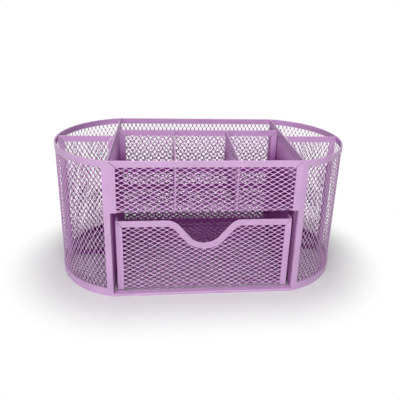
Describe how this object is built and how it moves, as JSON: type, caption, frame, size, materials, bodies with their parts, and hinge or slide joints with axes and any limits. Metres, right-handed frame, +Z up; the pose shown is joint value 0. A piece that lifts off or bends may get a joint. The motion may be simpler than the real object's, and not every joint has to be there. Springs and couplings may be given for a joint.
{
  "type": "pen stand with drawer",
  "caption": "Round-ended desk stand of painted expanded-metal mesh in folded strips, with end pockets, a rear compartment, pen compartments and a notched drawer below.",
  "frame": {"origin": "centre of the plan on the ground, under the base rim", "axes": "+X to the right along the long side, +Y from the drawer's face to the back, +Z up"},
  "size_m": [0.22, 0.112, 0.105],
  "materials": {
    "strip": "satin lilac powder coat on folded steel strip",
    "mesh": "satin lilac powder coat on expanded-metal sheet"
  },
  "bodies": {
    "stand": {"base_rim": "strip", "base_mesh": "mesh", "left_end_frame": "strip", "left_end_mesh": "mesh", "right_end_frame": "strip", "right_end_mesh": "mesh", "back_mesh": "mesh", "back_top_strip": "strip", "back_foot_strip": "strip", "front_frame": "strip", "front_mesh": "mesh", "left_partition_frame": "strip", "left_partition_mesh": "mesh", "right_partition_frame": "strip", "right_partition_mesh": "mesh", "middle_wall_frame": "strip", "middle_wall_mesh": "mesh", "left_pocket_divider_frame": "strip", "left_pocket_divider_mesh": "mesh", "right_pocket_divider_frame": "strip", "right_pocket_divider_mesh": "mesh", "left_pen_divider_frame": "strip", "left_pen_divider_mesh": "mesh", "right_pen_divider_frame": "strip", "right_pen_divider_mesh": "mesh"},
    "drawer": {"drawer_front_frame": "strip", "drawer_tray_mesh": "mesh", "drawer_left_mesh": "mesh", "drawer_left_rim": "strip", "drawer_right_mesh": "mesh", "drawer_right_rim": "strip", "drawer_back_rim": "strip"}
  },
  "joints": [
    {"name": "drawer_slide", "type": "slide", "parent": "stand", "child": "drawer", "axis": [0, -1, 0], "range_m": [0, 0.055]}
  ]
}
